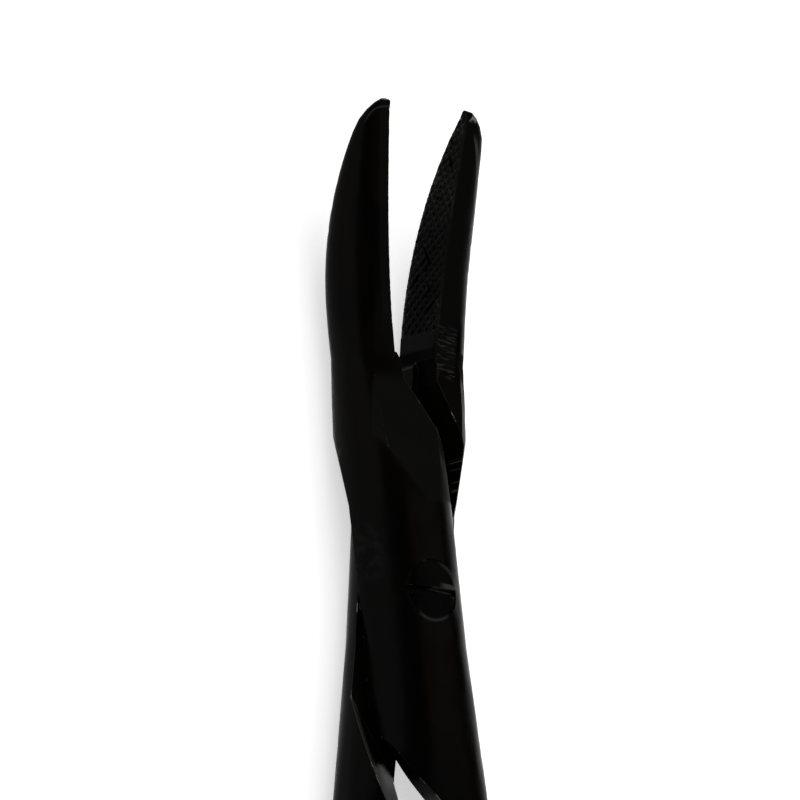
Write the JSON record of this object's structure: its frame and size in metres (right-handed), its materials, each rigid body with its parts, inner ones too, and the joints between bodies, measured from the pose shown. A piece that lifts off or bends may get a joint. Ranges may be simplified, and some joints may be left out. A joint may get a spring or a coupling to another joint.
{
  "type": "needle holder",
  "caption": "Surgical needle holder with curved cross-hatched jaws, a screwed lap joint, a ratchet catch and finger rings; holds and locks a suture needle.",
  "frame": {"origin": "on the pivot axis at the back face of the lap joint, where the instrument rests", "axes": "+Z along the pivot axis, away from the ground; +Y towards the jaw tips; +X to the right seen from the front"},
  "size_m": [0.0994, 0.2057, 0.0088],
  "materials": {
    "black_coat": "satin black coating with worn edges",
    "screw_coat": "satin black coating with worn slot edges"
  },
  "bodies": {
    "front": {"front_half": "black_coat"},
    "rear": {"rear_half": "black_coat", "pivot_screw": "screw_coat"}
  },
  "joints": [
    {"name": "pivot", "type": "hinge", "parent": "front", "child": "rear", "pos_m": [0, 0, 0.0037], "axis": [0, 0, 1], "range_deg": [-28, 11.2]}
  ]
}
